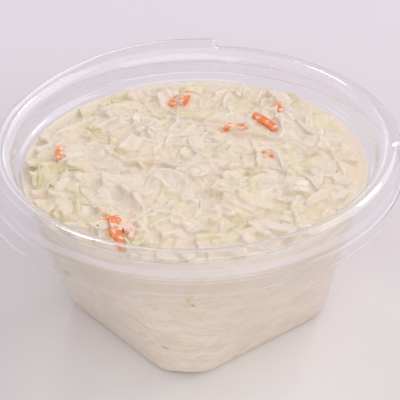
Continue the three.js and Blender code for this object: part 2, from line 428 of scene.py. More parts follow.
pressed, tree, shader, place = new_material("coleslaw_against_plastic", {"Roughness": 0.5})
let_light_in(tree, shader, 0.5, 1.2)
bend = add_noise(tree, place, 45, 2, output="Color")
wander = {0: bend, 1: (0.004, 0.004, 0.012), 2: place}
wandering = add_node(
    tree, "ShaderNodeVectorMath", wander, operation="MULTIPLY_ADD",
).outputs["Vector"]
flattened = add_stretch(tree, wandering, 1, 1, 2.2)
# Each pressed leaf has its veins slanting one way or the other.
leaves = add_cells(tree, flattened, 75)
turned = add_range(tree, leaves["Blue"], 0.48, 0.52)
rising, falling = add_slant(tree, wandering, 30, 6), add_slant(tree, wandering, -18, 6)
veins = add_mix(tree, turned, rising, falling)
mottle = add_range(tree, add_noise(tree, flattened, 40, 3), 0.3, 0.7)
body = add_mix(tree, mottle, BEIGE, CREAM)
cut_bits = add_cells(tree, flattened, 120)
pale = add_range(tree, cut_bits["Red"], 0.4, 1, 0, 0.5)
body = add_mix(tree, pale, body, (0.92, 0.83, 0.73, 1))
yellow = add_range(tree, cut_bits["Green"], 0.75, 1, 0, 0.35)
body = add_mix(tree, yellow, body, LEAF_YELLOW)
# Along the veins run brown streaks, fine pale lines and darker dents.
for scale, detail, low, high, to_low, to_high, colour in (
    (110, 2, 0.5, 0.68, 0, 0.5, (0.74, 0.61, 0.47, 1)),
    (190, 2, 0.55, 0.7, 0, 0.6, (0.92, 0.84, 0.76, 1)),
    (150, 3, 0.34, 0.44, 0.5, 0, (0.70, 0.57, 0.43, 1)),
):
    marks = add_range(tree, add_noise(tree, veins, scale, detail), low, high, to_low, to_high)
    body = add_mix(tree, marks, body, colour)
# Painted shade: the salad is darker in the rim's shadow, and painted light makes it paler again
# at the top, where light comes in under the rim.
height = add_axes(tree, place)["Z"]
rim_shadow_share = add_math(
    tree, "MINIMUM", add_range(tree, height, 0.030, 0.046, 0, 0.5),
    add_range(tree, height, 0.048, 0.052, 0.5, 0.05),
)
body = add_mix(tree, rim_shadow_share, body, (0.74, 0.62, 0.50, 1))
light_under_rim_share = add_range(tree, height, 0.0485, 0.053, 0, 0.55)
body = add_mix(tree, light_under_rim_share, body, (0.95, 0.86, 0.76, 1))
tree.links.new(body, shader.inputs["Base Color"])

bm = spin_profile(FILL_PROFILE, 160)
square_the_foot(bm)
fill = settle(bm, "coleslaw_fill", pressed)
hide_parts("coleslaw")

# ---------------------------------------------------------------------------------------
# Cabbage chips: white cabbage diced by machine, so that most pieces are flat bits of leaf
# with straight cut edges and blunt corners, and some are thick lumps of rib. They lie
# across each other in two layers, tilted every way.

MIX_SEED = 41
WALL_RADIUS = 60.5  # of the plastic at the salad's edge
FILL_LEVEL = 55.4
PIECES_REACH = 58.8  # no loose piece sticks out past this radius
CHIP_TEMPLATES = 16
TEMPLATE_THICKNESS = 0.14
CHIP_LAYERS = [
    # count, reach from the axis, length, thickness, lift, tilt
    (190, 57.0, (10.0, 17.0), (1.2, 2.4), (-0.2, 0.7), 0.16),
    (190, 55.5, (6.5, 13.0), (0.9, 2.5), (0.5, 1.8), 0.30),
]
# Chips that lie in plain sight: x, y, yaw, tilt and roll in degrees, length, thickness,
# lift, tone.
SHOWN_CHIPS = [
    (-11.2, -18.5, 84, -16, 2, 17.0, 3.0, 1.7, 0.04),
    (-33.6, -27.4, -8, 3, 6, 15.0, 1.8, 1.9, 0.08),
    (-24.3, -18.3, 97, -16, -3, 16.5, 2.8, 1.8, 0.0),
    (-38.8, 6.2, 4, 5, 6, 14.0, 1.8, 1.5, 0.0),
    (-19.1, 9.3, -18, 8, 4, 12.5, 1.6, 1.7, 0.1),
    (-2.2, 8.5, 12, -6, 12, 13.0, 1.8, 2.0, 0.2),
    (42.9, 7.6, -30, 6, 16, 12.5, 4.6, 1.6, 0.35),
    (50.0, 1.2, 20, 9, 14, 10.5, 4.2, 0.8, 0.45),
    (51.4, -11.3, 62, 12, 8, 13.0, 3.6, 0.7, 0.5),
    (42.1, -25.9, -20, -5, 12, 11.5, 5.0, 1.6, 0.3),
    (35.8, -18.1, 35, 10, 4, 10.0, 3.4, 1.9, 0.2),
    (-37.9, -40.7, 6, 4, 4, 9.0, 2.0, 1.6, 0.0),
    (-20.0, 49.0, 30, 6, 10, 9.5, 3.8, 1.4, 0.15),
    (-12.2, 50.2, -35, -6, 10, 10.0, 3.8, 1.3, 0.3),
    (34.2, 44.6, 15, 8, 8, 11.0, 4.2, 1.1, 0.25),
    (10.5, -19.5, -12, 4, 6, 9.0, 1.6, 2.7, 0.8),
    (-19.9, -48.4, 10, 2, 4, 6.5, 2.2, 1.5, 0.8),
    (7.7, 25.1, 50, -8, 6, 12.0, 1.8, 1.8, 0.1),
    (19.6, 7.4, -40, 5, 8, 11.0, 1.8, 2.0, 0.25),
    (-47.9, 20.9, 35, 4, 6, 12.5, 1.8, 1.2, 0.3),
    (-30.1, 27.0, -12, -5, 10, 13.0, 2.0, 1.7, 0.12),
    (33.0, -6.4, 15, 6, 10, 10.0, 2.4, 2.0, 0.1),
    (1.2, -42.3, -25, 6, 8, 12.0, 2.0, 1.8, 0.35),
    (24.5, -42.0, 30, 4, 8, 11.0, 2.0, 1.7, 0.3),
    (-8.7, -38.9, 40, 8, 4, 11.0, 2.0, 1.8, 0.15),
    (-37.2, -8.8, 10, 2, 18, 7.5, 1.8, 1.9, 0.0),
    (-43.1, -8.5, 60, 4, 10, 9.5, 1.8, 1.6, 0.5),
    (21.0, 45.5, -30, 8, 10, 8.5, 2.4, 1.4, 0.35),
    (-51.5, -24.0, -70, -8, 4, 10.0, 2.0, 1.2, 0.6),
    (-50.5, 6.5, 20, 4, 8, 9.0, 2.0, 1.2, 0.2),
]


def heap_height(x, y):
    """The heap before the loose pieces: a low mound with broad lumps."""
    out = clamp(math.hypot(x, y) / WALL_RADIUS)
    lumps = math.sin(x * 0.21 + 1.3) * math.cos(y * 0.17) + math.sin(x * 0.09 - y * 0.26)
    return FILL_LEVEL + 1.4 * (1 - out * out) + 0.9 * lumps * (1 - out**6)


def scatter(count, reach, rng):
    """Even spots over the heap, turned by the golden angle and each moved a little."""
    golden = math.pi * (3 - math.sqrt(5))
    start = rng.uniform(0, 2 * math.pi)
    for i in range(count):
        radius = reach * math.sqrt((i + 0.5) / count)
        angle = start + i * golden
        yield (
            radius * math.cos(angle) + rng.uniform(-2.5, 2.5),
            radius * math.sin(angle) + rng.uniform(-2.5, 2.5),
        )


def pool_edge(x, y):
    """How far out the pieces reach; beyond it the dressing has run together in a pool."""
    azimuth = math.degrees(math.atan2(y, x))
    pool = 0.0
    for middle, half, width in ((84, 34, 7.0), (22, 40, 3.0), (148, 26, 2.5)):
        off = abs((azimuth - middle + 180) % 360 - 180)
        pool = max(pool, width * (1 - smoothstep(off, 0.6 * half, half)))
    return 57.5 - pool


def blunt(bm, edges, offset):
    bmesh.ops.bevel(
        bm, geom=edges, offset=offset, offset_type="OFFSET", segments=1, profile=0.5,
        affect="EDGES", material=-1,
    )


def keep_template(bm, name):
    """Make a mesh that is copied many times, with a UV map along its grain."""
    grain = bm.loops.layers.uv.new("grain")
    for face in bm.faces:
        for loop in face.loops:
            loop[grain].uv = loop.vert.co.xy
    return make_mesh(bm, name)


def chip_template(rng):
    """A cut of leaf one unit long."""
    bm = bmesh.new()
    bmesh.ops.create_grid(bm, x_segments=3, y_segments=3, size=0.5)
    width = rng.uniform(0.5, 0.85)
    slant = rng.uniform(-0.35, 0.35)
    for vert in bm.verts:
        x, y = vert.co.x, vert.co.y
        if abs(x) > 0.4 and abs(y) > 0.4:
            corner = rng.choice((0.6, 0.8, 1.0, 1.08))
            x *= corner
            y *= corner
        x += rng.uniform(-0.06, 0.06) + slant * y
        y += rng.uniform(-0.06, 0.06)
        vert.co = Vector((x, y * width, 0))
    bmesh.ops.solidify(bm, geom=bm.faces[:], thickness=TEMPLATE_THICKNESS)
    bmesh.ops.recalc_face_normals(bm, faces=bm.faces[:])
    blunt(bm, [edge for edge in bm.edges if edge.calc_face_angle() > 0.8], 0.02)
    bow, twist = rng.uniform(-0.4, 0.4), rng.uniform(-0.35, 0.35)
    for vert in bm.verts:
        x, y, z = vert.co
        vert.co.z = z + bow * x * x + twist * x * y
    bmesh.ops.recalc_face_normals(bm, faces=bm.faces[:])
    return keep_template(bm, "chip_template")


def add_copy(bm, template, matrix, tone, rng):
    """Copy a template into a mesh, moved by matrix, with one tone for the whole copy."""
    first_vert, first_face = len(bm.verts), len(bm.faces)
    bm.from_mesh(template)
    bm.verts.ensure_lookup_table()
    bm.faces.ensure_lookup_table()
    verts = bm.verts[first_vert:]
    bmesh.ops.transform(bm, matrix=matrix, verts=verts)
    tones = bm.verts.layers.float["tone"]
    for vert in verts:
        vert[tones] = tone
    grain = bm.loops.layers.uv["grain"]
    shift = Vector((rng.uniform(0, 40), rng.uniform(0, 40)))
    for face in bm.faces[first_face:]:
        for loop in face.loops:
            loop[grain].uv += shift
    return verts


def new_pile():
    """An empty mesh for many copies, with their tone and the UV map of their grain."""
    bm = bmesh.new()
    bm.verts.layers.float.new("tone")
    bm.loops.layers.uv.new("grain")
    return bm


def keep_inside(verts):
    """Push what would stick through the plastic back towards the axis."""
    for vert in verts:
        radius = math.hypot(vert.co.x, vert.co.y)
        if radius > PIECES_REACH:
            vert.co.x *= PIECES_REACH / radius
            vert.co.y *= PIECES_REACH / radius


def lay_chip(x, y, yaw, tilt, roll, length, thick, lift, shape, tone):
    """Lay one chip on the heap, with its turns in radians."""
    turn = Euler((roll, tilt, yaw)).to_matrix().to_4x4()
    spot = Matrix.Translation((x, y, heap_height(x, y) + lift)) @ turn
    size = Matrix.Diagonal((length, length, thick / TEMPLATE_THICKNESS, 1))
    keep_inside(add_copy(chips, shape, spot @ size, tone, rng))


rng = random.Random(MIX_SEED)
chip_shapes = [chip_template(rng) for i in range(CHIP_TEMPLATES)]
chips = new_pile()
for count, reach, lengths, thicknesses, lifts, tilt in CHIP_LAYERS:
    for x, y in scatter(count, reach, rng):
        length = rng.uniform(*lengths)
        if math.hypot(x, y) > pool_edge(x, y) - 0.25 * length:
            continue
        lift = rng.uniform(*lifts)
        turns = [rng.uniform(-most, most) for most in (math.pi, tilt, tilt)]
        thick = rng.uniform(*thicknesses)
        shape = rng.choice(chip_shapes)
        lay_chip(x, y, *turns, length, thick, lift, shape, rng.random() ** 1.7)
for x, y, yaw, tilt, roll, length, thick, lift, tone in SHOWN_CHIPS:
    turns = [math.radians(turn) for turn in (yaw, tilt, roll)]
    lay_chip(x, y, *turns, length, thick, lift, rng.choice(chip_shapes), tone)

# ---------------------------------------------------------------------------------------
# Cabbage shreds: thin strips cut across the leaf. They bend, narrow towards their ends and
# lie over the chips wherever they fell when the salad was mixed.

SHRED_TEMPLATES = 10
SHRED_STEPS = 8
SHRED_COUNT = 45
SHRED_REACH = 50
THREAD_COUNT = 150
THREAD_REACH = 54
ABOVE_ALL = 80
# Shreds that lie in plain sight: x, y, yaw in degrees, length, width, bend, tone.
SHOWN_SHREDS = [
    (13.6, 43.0, 73, 17, 1.4, 0.08, 0.0),
    (20.2, 48.1, 66, 9, 1.4, 0.05, 0.05),
    (41.8, 16.5, -64, 23, 1.6, 0.05, 0.1),
    (32.4, 22.4, -84, 13, 1.3, -0.05, 0.0),
    (28.8, -0.1, -75, 14, 1.4, 0.06, 0.0),
    (38.5, -14.5, -65, 15, 1.6, 0.05, 0.3),
    (19.9, -28.1, -26, 30, 4.6, 0.04, 0.62),
    (10.1, -20.2, -31, 12, 2.3, 0.05, 0.1),
    (22.5, -36.2, -22, 20, 3.5, 0.05, 0.5),
    (14.0, -46.8, -65, 13, 1.4, 0.05, 0.15),
    (7.0, -36.9, -83, 20, 1.4, 0.06, 0.05),
    (19.6, -17.5, 89, 12, 2.6, 0.03, 0.85),
    (32.8, -37.8, -84, 14, 2.1, 0.05, 0.6),
    (-1.4, -16.2, 80, 20, 4.2, 0.03, 0.0),
    (-10.3, 48.2, -62, 9, 1.9, 0.05, 0.0),
    (-7.2, 24.7, 73, 12, 1.3, -0.05, 0.0),
    (-4.5, 4.8, 68, 8, 1.2, 0.05, 0.0),
    (-0.4, 9.3, -75, 13, 1.4, -0.05, 0.0),
    (-9.0, 12.4, 73, 8, 1.1, 0.05, 0.1),
    (-2.3, 1.0, -45, 6, 1.3, 0.05, 0.1),
    (-31.9, 26.6, 29, 11, 2.6, 0.05, 0.35),
    (-30.1, 37.9, 21, 14, 2.4, 0.05, 0.1),
    (-52.2, -3.5, -78, 11, 1.6, 0.08, 0.0),
    (-40.3, -25.0, -86, 10, 2.0, 0.05, 0.95),
    (-15.4, 38.7, -68, 18, 1.7, -0.05, 0.3),
    (-31.1, 6.7, -52, 7, 1.4, 0.05, 0.1),
    (-8.4, -34.5, -28, 14, 1.7, 0.05, 0.1),
    (-10.7, -38.0, 31, 11, 1.6, 0.05, 0.3),
    (-40.0, -37.9, -23, 10, 2.8, 0.05, 0.2),
    (5.0, -47.6, 10, 11, 2.3, 0.05, 0.7),
    (-17.4, 21.4, 32, 8, 2.5, 0.05, 0.0),
    (11.1, 10.7, 40, 10, 1.7, -0.05, 0.0),
    (49.7, -2.7, -76, 17, 1.6, 0.05, 0.15),
    (41.3, -24.8, 45, 13, 1.9, 0.05, 0.4),
    (-44.0, 24.0, 40, 22, 2.2, 0.07, 0.3),
]


def edges_along(bm):
    return [e for e in bm.edges if abs(e.verts[0].co.x - e.verts[1].co.x) > 0.5]


def shred_template(rng):
    """A strip one unit long, wide and thick, that narrows unevenly towards its ends."""
    bm = bmesh.new()
    bmesh.ops.create_cube(bm, size=1)
    blunt(bm, edges_along(bm), 0.24)
    steps = SHRED_STEPS - 1
    bmesh.ops.subdivide_edges(bm, edges=edges_along(bm), cuts=steps, use_grid_fill=True)
    end_width = rng.uniform(0.3, 0.9)
    phase = rng.uniform(0, 6)
    for vert in bm.verts:
        x = vert.co.x
        taper = 1 - (1 - end_width) * abs(2 * x) ** 3
        vert.co.y *= taper * (1 + 0.22 * math.sin(9 * x + phase))
        vert.co.z *= 1 - 0.4 * abs(2 * x) ** 4
    return keep_template(bm, "shred_template")


def height_under(pieces, x, y):
    """Height of what lies on top at a spot, or of the heap where nothing does."""
    hit = pieces.ray_cast(Vector((x, y, ABOVE_ALL)), Vector((0, 0, -1)))[0]
    return hit.z if hit else heap_height(x, y)


def drape(verts, ground, middle, yaw, bow, lift, stiff=False):
    """Bend a strip sideways and lay it over what it falls on, limp or stiff."""
    turn = Matrix.Rotation(yaw, 3, "Z")
    length = max(vert.co.x for vert in verts) * 2
    levels = []
    stations = 2 * SHRED_STEPS + 1
    for i in range(stations):
        x = length * (i / (stations - 1) - 0.5)
        side = bow * length * (1 - (2 * x / length) ** 2)
        spot = turn @ Vector((x, side, 0)) + middle
        levels.append(height_under(ground, spot.x, spot.y))
    for turns in range(5):
        inner = [sum(levels[i - 1:i + 2]) / 3 for i in range(1, stations - 1)]
        levels = [levels[0], *inner, levels[-1]]
    if stiff:
        start, end = max(levels[:4]), max(levels[-4:])
        levels = [start + (end - start) * i / (stations - 1) for i in range(stations)]
    for vert in verts:
        share = clamp(vert.co.x / length + 0.5) * (stations - 1)
        step = min(int(share), stations - 2)
        level = levels[step] + (levels[step + 1] - levels[step]) * (share - step)
        side = bow * length * (1 - (2 * vert.co.x / length) ** 2)
        spot = turn @ Vector((vert.co.x, vert.co.y + side, 0)) + middle
        vert.co = Vector((spot.x, spot.y, vert.co.z + level + lift))


shred_shapes = [shred_template(rng) for i in range(SHRED_TEMPLATES)]
shreds = new_pile()
ground = BVHTree.FromBMesh(chips)
strewn = []
for x, y in scatter(SHRED_COUNT, SHRED_REACH, rng):
    strewn.append((
        x, y, rng.uniform(-180, 180), rng.uniform(8, 20), rng.uniform(1.6, 4.4),
        rng.uniform(-0.12, 0.12), rng.random() ** 1.7,
    ))
threads = []
for x, y in scatter(THREAD_COUNT, THREAD_REACH, rng):
    if x > rng.uniform(20, 60):  # fewer of them towards one side
        continue
    threads.append((
        x, y, rng.uniform(-180, 180), rng.uniform(5, 12), rng.uniform(0.6, 1.2),
        rng.uniform(-0.15, 0.15), rng.random() ** 2.5,
    ))
for strips, thicknesses, lifts in (
    (strewn, (0.5, 0.9), (-0.1, 0.3)), (threads, (0.5, 0.8), (0.0, 0.4)),
    (SHOWN_SHREDS, (1.0, 1.4), (0.2, 0.5)),
):
    for x, y, yaw, length, width, bow, tone in strips:
        size = Matrix.Diagonal((length, width, rng.uniform(*thicknesses), 1))
        lift = rng.uniform(*lifts)
        verts = add_copy(shreds, rng.choice(shred_shapes), size, tone, rng)
        drape(verts, ground, Vector((x, y, 0)), math.radians(yaw), bow, lift)
        keep_inside(verts)

# ---------------------------------------------------------------------------------------
# Carrot and green leaf: coarse carrot shreds, bright where the dressing has run off them,
# and slivers of the cabbage's green outer leaves. A few of each are pressed against the
# plastic.

# Carrot shreds on top: x, y, yaw in degrees, length, width, bend, lift, share of dressing.
CARROTS = [
    (-6.6, 41.2, 66, 7.6, 2.9, 0.0, 1.3, 0.0),
    (-2.7, 40.4, 66, 7.4, 3.0, 0.0, 1.3, 0.05),
    (25.6, 24.2, -47, 11.2, 3.2, 0.0, 1.6, 0.0),
    (14.2, 19.8, -3, 9.4, 3.0, 0.03, 1.3, 0.2),
    (30.9, 35.9, -56, 5.0, 3.0, 0.0, 1.2, 0.1),
    (-47.3, 5.5, -85, 7.4, 3.0, 0.0, 1.3, 0.2),
    (25.2, 1.9, 12, 3.2, 1.0, 0.0, 1.0, 0.3),
    (26.6, 0.6, -20, 2.8, 1.0, 0.0, 1.0, 0.4),
    (24.9, 0.2, 60, 2.2, 0.9, 0.0, 1.0, 0.5),
    (-27.0, -39.4, -78, 8.6, 4.3, 0.05, 1.5, 0.05),
    (-23.2, -38.8, -66, 8.5, 3.8, -0.05, 1.3, 0.5),
    (-25.6, -46.4, -58, 8.4, 3.8, 0.05, 1.4, 0.0),
    (-21.6, -43.4, -95, 7.0, 2.0, 0.05, 1.2, 0.55),
    (-30.5, -34.8, 40, 3.2, 1.5, 0.0, 1.0, 0.35),
]
# Green slivers on top: x, y, yaw, length, width, bend, lift, tone.
GREENS = [
    (-54.4, -7.3, -89, 12.0, 1.7, 0.08, 0.8, 0.75),
    (-50.5, -1.6, -82, 11.0, 1.0, 0.05, 0.8, 0.55),
    (-46.8, -2.2, 50, 4.5, 2.4, 0.0, 0.9, 1.0),
    (-41.2, -3.4, -24, 11.0, 1.4, 0.08, 0.9, 0.6),
    (-40.6, -25.7, -71, 8.0, 1.5, 0.05, 0.8, 0.35),
    (-39.6, -34.9, -14, 12.0, 1.8, 0.05, 0.7, 0.3),
    (-27.0, 46.4, -17, 6.0, 3.4, 0.0, 0.8, 0.35),
    (-26.5, 6.5, -68, 6.0, 1.6, 0.0, 0.8, 0.2),
    (-35.8, 24.0, -34, 5.0, 1.8, 0.0, 0.8, 0.15),
    (20.5, 50.7, -48, 5.0, 2.3, 0.0, 0.8, 0.35),
    (28.1, -32.2, -28, 7.0, 2.3, 0.05, 1.0, 0.45),
    (36.9, -21.8, -81, 6.0, 1.4, 0.05, 0.9, 0.5),
    (34.6, -21.1, -73, 4.0, 1.2, 0.0, 0.9, 0.4),
    (5.1, -47.9, -20, 10.0, 1.7, 0.05, 0.8, 0.3),
    (-19.4, -48.6, 20, 4.2, 3.2, 0.0, 0.9, 0.2),
    (33.0, 5.0, 40, 5.0, 1.4, 0.0, 0.7, 0.3),
]
# Bits behind the plastic: azimuth in degrees, height, length, width, slope, tone.
WALL_CARROTS = [
    (-93.5, 36.2, 4.6, 1.5, -5, 0.3),
    (-52.2, 36.3, 3.0, 1.6, 20, 0.15),
    (-68.0, 2.3, 6.5, 1.8, 28, 0.25),
    (45, 30, 6.0, 1.8, 15, 0.3),
    (130, 22, 5.0, 1.6, -30, 0.3),
    (20, 41, 5.0, 1.5, 5, 0.35),
]
WALL_GREENS = [
    (-155.7, 33.7, 7.5, 2.6, 55, 0.75),
    (-154.3, 27.6, 5.5, 2.0, 40, 0.85),
    (-92.7, 40.0, 4.8, 2.4, 80, 0.65),
    (-36.4, 5.6, 5.5, 1.8, 28, 0.4),
    (-103.6, 13.5, 2.2, 0.8, -35, 0.8),
    (-111.2, 17.6, 2.6, 1.0, 10, 0.4),
    (-59.4, 7.9, 5.0, 1.0, 25, 0.4),
    (-49.6, 38.8, 6.0, 2.0, 60, 0.4),
    (-127.8, 39.3, 9.0, 1.4, -30, 0.3),
    (80, 38, 8.0, 2.0, 10, 0.6),
    (165, 18, 6.5, 2.4, -20, 0.7),
    (0, 24, 7.0, 1.6, 25, 0.6),
]


def stick_template(rng):
    """A cut stick one unit long, wide and thick, with uneven sides and slanting ends."""
    bm = bmesh.new()
    bmesh.ops.create_cube(bm, size=1)
    bmesh.ops.subdivide_edges(bm, edges=edges_along(bm), cuts=5, use_grid_fill=True)
    slant = rng.uniform(-0.22, 0.22)
    for vert in bm.verts:
        x, y, z = vert.co
        waist = 1 - rng.uniform(0, 0.14) - 0.25 * abs(2 * x) ** 6
        vert.co = Vector((x + slant * y * abs(x), y * waist, z * (1 - rng.uniform(0, 0.2))))
    blunt(bm, [edge for edge in bm.edges if edge.calc_face_angle() > 0.8], 0.04)
    bmesh.ops.recalc_face_normals(bm, faces=bm.faces[:])
    return keep_template(bm, "stick_template")


def wall_spot(azimuth, height):
    """A point in the middle of the sheet."""
    radius = footprint(azimuth, wall_radius(height), side_distance(height))
    return Vector((radius * math.cos(azimuth), radius * math.sin(azimuth), height))


def on_wall(azimuth, height, slope):
    """A matrix that lays a piece against the plastic, with +Z pointing out of the cup."""
    spot = wall_spot(azimuth, height)
    along = (wall_spot(azimuth + 0.02, height) - wall_spot(azimuth - 0.02, height)).normalized()
    out = along.cross(wall_spot(azimuth, height + 1) - spot).normalized()
    turn = Matrix((along, out.cross(along), out)).transposed().to_4x4()
    return Matrix.Translation(spot) @ turn @ Matrix.Rotation(slope, 4, "Z")


def strew_bits(shapes, thickest, fading, stiff, top_bits, wall_bits):
    """Long bits laid over the heap, and flat bits against the plastic."""
    bits = new_pile()
    tones = bits.verts.layers.float["tone"]
    for x, y, yaw, length, width, bow, lift, tone in top_bits:
        size = Matrix.Diagonal((length, width, min(0.8 * width, thickest), 1))
        verts = add_copy(bits, rng.choice(shapes), size, tone, rng)
        for vert in verts:
            vert[tones] += fading * abs(2 * vert.co.x / length) ** 3
        drape(verts, ground, Vector((x, y, 0)), math.radians(yaw), bow, lift - 0.7, stiff)
        keep_inside(verts)
    for azimuth, height, length, width, slope, tone in wall_bits:
        size = Matrix.Diagonal((length, 1.5 * width, 2.0, 1))
        spot = on_wall(math.radians(azimuth), height, math.radians(slope))
        add_copy(bits, rng.choice(chip_shapes), spot @ size, tone, rng)
    return bits


stick_shapes = [stick_template(rng) for i in range(6)]
carrots = strew_bits(stick_shapes, 1.9, 0.1, True, CARROTS, WALL_CARROTS)
greens = strew_bits(shred_shapes, 0.8, -0.35, False, GREENS, WALL_GREENS)
carrot_spots = BVHTree.FromBMesh(carrots)
green_spots = BVHTree.FromBMesh(greens)


def add_fibres(tree, along, across, scale):
    """Fibres that run with a cut piece, by the UV map of its grain."""
    grain = add_node(tree, "ShaderNodeUVMap", {}, uv_map="grain").outputs["UV"]
    drawn_out = add_stretch(tree, grain, along, across, 1)
    return add_noise(tree, drawn_out, scale)


def add_attribute(tree, name):
    return add_node(tree, "ShaderNodeAttribute", {}, attribute_name=name).outputs["Fac"]


def add_ramp(tree, share, *stops):
    """Run from colour to colour, each at its own position."""
    ramp = add_node(tree, "ShaderNodeValToRGB", {"Fac": share})
    elements = ramp.color_ramp.elements
    first, *between, last = stops
    for element, (position, colour) in zip(elements, (first, last)):
        element.position = position
        element.color = colour
    for position, colour in between:
        elements.new(position).color = colour
    return ramp.outputs["Color"]


carrot_flesh, tree, shader, place = new_material("carrot_under_dressing", {"Roughness": 0.2})
let_light_in(tree, shader, 0.1, 0.4)
fibres = add_fibres(tree, 2, 9, 1.6)
stringy = add_range(tree, fibres, 0.3, 0.7)
orange = add_mix(tree, stringy, (0.80, 0.15, 0.025, 1), (0.93, 0.31, 0.09, 1))
smear = add_noise(tree, place, 480)
thickness = add_math(tree, "MULTIPLY_ADD", add_attribute(tree, "tone"), 0.4, smear)
film = add_range(tree, thickness, 0.52, 0.64, 0, 0.9)
coated = add_mix(tree, film, orange, (0.88, 0.72, 0.60, 1))
tree.links.new(coated, shader.inputs["Base Color"])
add_bump(tree, fibres, 0.0003, 0.5, shader)

green_leaf, tree, shader, place = new_material("green_leaf_under_dressing", {"Roughness": 0.3})
let_light_in(tree, shader, 0.1, 0.4)
greens_hue = add_ramp(
    tree, add_attribute(tree, "tone"), (0, (0.80, 0.70, 0.46, 1)),
    (0.5, (0.67, 0.61, 0.27, 1)), (1, (0.36, 0.34, 0.06, 1)),
)
film = add_range(tree, add_noise(tree, place, 300), 0.35, 0.65, 0.1, 0.75)
coated = add_mix(tree, film, greens_hue, (0.80, 0.70, 0.54, 1))
tree.links.new(coated, shader.inputs["Base Color"])

for bits, name, material in (
    (carrots, "carrot_shreds", carrot_flesh), (greens, "green_slivers", green_leaf),
):
    piece = settle(bits, name, material, flat=bits == carrots)
    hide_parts("coleslaw")

# ---------------------------------------------------------------------------------------
# The dressing: thick mayonnaise that coats every piece and fills the gaps between them. It
# thins out over corners and cut edges, which stand out of it, and runs smooth to the wall.

COAT_VOXEL = 0.46
COAT_BOTTOM = 51.4
COAT_SMOOTHING = 2
COAT_SHARPENING = 0.8
COAT_PROUD = 0.10  # on average
COAT_PATCHES = ((0.32, 8.0), (0.07, 1.7))  # how far it comes and goes, over what length
COAT_RINGS = 30
POOL_DEPTH = 0.25  # how far the dressing's pools lie below the pieces round them
POOL_REACH = 3.5
# Radii between which the dressing runs out level, turns plain, and is drawn to the plastic.
LEVEL_EDGE = (54, 60)
PLAIN_EDGE = (56.5, 59)
WETTED_EDGE = (58.6, 59.8)
PRESSED_RADIUS = 59.0  # from here out, below the top, the coat is salad behind plastic
MENISCUS = 0.5


def coat_core():
    """The salad's upper layer as one plain closed body, for the dressing to cover."""
    profile = [(0, COAT_BOTTOM, 0), (WALL_RADIUS - 0.2, COAT_BOTTOM, 0)]
    for i in range(COAT_RINGS + 1):
        profile.append(((WALL_RADIUS - 0.2) * (1 - i / COAT_RINGS), FILL_LEVEL, 0))
    bm = spin_profile(profile, 120)
    pools = [vert for vert in bm.verts if vert.co.z > COAT_BOTTOM + 1]
    for vert in pools:
        tops = []
        for turn in range(12):
            reach = POOL_REACH * (turn % 3 + 1) / 3
            x = vert.co.x + reach * math.cos(turn * math.pi / 6)
            y = vert.co.y + reach * math.sin(turn * math.pi / 6)
            tops.append(height_under(pile, x, y))
        out = smoothstep(math.hypot(vert.co.x, vert.co.y), *LEVEL_EDGE)
        level = sum(tops) / len(tops) - POOL_DEPTH
        vert.co.z = level + out * (FILL_LEVEL - level)
    return bm


def join_meshes(*sources):
    bm = bmesh.new()
    for source in sources:
        mesh = bpy.data.meshes.new("joined")
        source.to_mesh(mesh)
        bm.from_mesh(mesh)
        bpy.data.meshes.remove(mesh)
    return bm


def remesh(bm, voxel):
    """Fuse every body of a mesh into one skin of even small faces."""
    mesh = make_mesh(bm, "fused")
    body = put_in_scene("fused", mesh)
    skin = body.modifiers.new("skin", "REMESH")
    skin.mode = "VOXEL"
    skin.voxel_size = voxel
    graph = bpy.context.evaluated_depsgraph_get()
    fused = bmesh.new()
    fused.from_object(body, graph)
    bpy.data.objects.remove(body)
    bpy.data.meshes.remove(mesh)
    return fused


def smooth(bm, verts, turns):
    for turn in range(turns):
        bmesh.ops.smooth_vert(
            bm, verts=verts, factor=0.5, use_axis_x=True, use_axis_y=True, use_axis_z=True,
        )


mixed = join_meshes(chips, shreds)
pile = BVHTree.FromBMesh(mixed)
tones = mixed.verts.layers.float["tone"]
pile_tones = [face.verts[0][tones] for face in mixed.faces]
core = coat_core()
coat = remesh(join_meshes(core, chips, shreds), COAT_VOXEL)
core.free()
relief = coat.verts.layers.float.new("relief")
under = coat.verts.layers.float.new("tone")
stains = [coat.verts.layers.float.new(name) for name in ("by_carrot", "by_green")]
upper = [vert for vert in coat.verts if vert.co.z > COAT_BOTTOM + 0.3]
smooth(coat, upper, COAT_SMOOTHING)
coat.normal_update()
crisp = [vert.co.copy() for vert in upper]
normals = [vert.normal.copy() for vert in upper]
smooth(coat, upper, 6)
creases = []
for vert, spot, normal in zip(upper, crisp, normals):
    detail = spot - vert.co
    creases.append(detail.dot(normal))
    patch = sum(height * noise.noise(spot / length) for height, length in COAT_PATCHES)
    vert.co = spot + detail * COAT_SHARPENING + normal * (COAT_PROUD + patch)
coat.normal_update()

# How far each spot lies above or below its surroundings. The dressing is tinted by it: painted
# shade in its hollows and creases, a painted highlight on its crests.
CELLS = 124  # of one millimetre, across the salad
RELIEF_DEPTH = 3.2
CREASE_SHARE = 1.1
PLAIN_RELIEF = 0.55
STAIN_REACH = (0.1, 1.5)


def cell_of(vert):
    return int(vert.co.x + CELLS / 2), int(vert.co.y + CELLS / 2)


def height_map(verts):
    """The mean height of the coat's top in each cell, blurred."""
    total = [[0.0] * CELLS for i in range(CELLS)]
    count = [[0] * CELLS for i in range(CELLS)]
    for vert in verts:
        if vert.normal.z > 0.1:
            i, j = cell_of(vert)
            total[i][j] += vert.co.z
            count[i][j] += 1
    level = [
        [total[i][j] / count[i][j] if count[i][j] else FILL_LEVEL for j in range(CELLS)]
        for i in range(CELLS)
    ]
    for turn in range(4):
        level = [
            [
                (
                    level[max(i - 1, 0)][j] + level[min(i + 1, CELLS - 1)][j]
                    + level[i][max(j - 1, 0)] + level[i][min(j + 1, CELLS - 1)]
                    + level[i][j]
                ) / 5
                for j in range(CELLS)
            ]
            for i in range(CELLS)
        ]
    return level


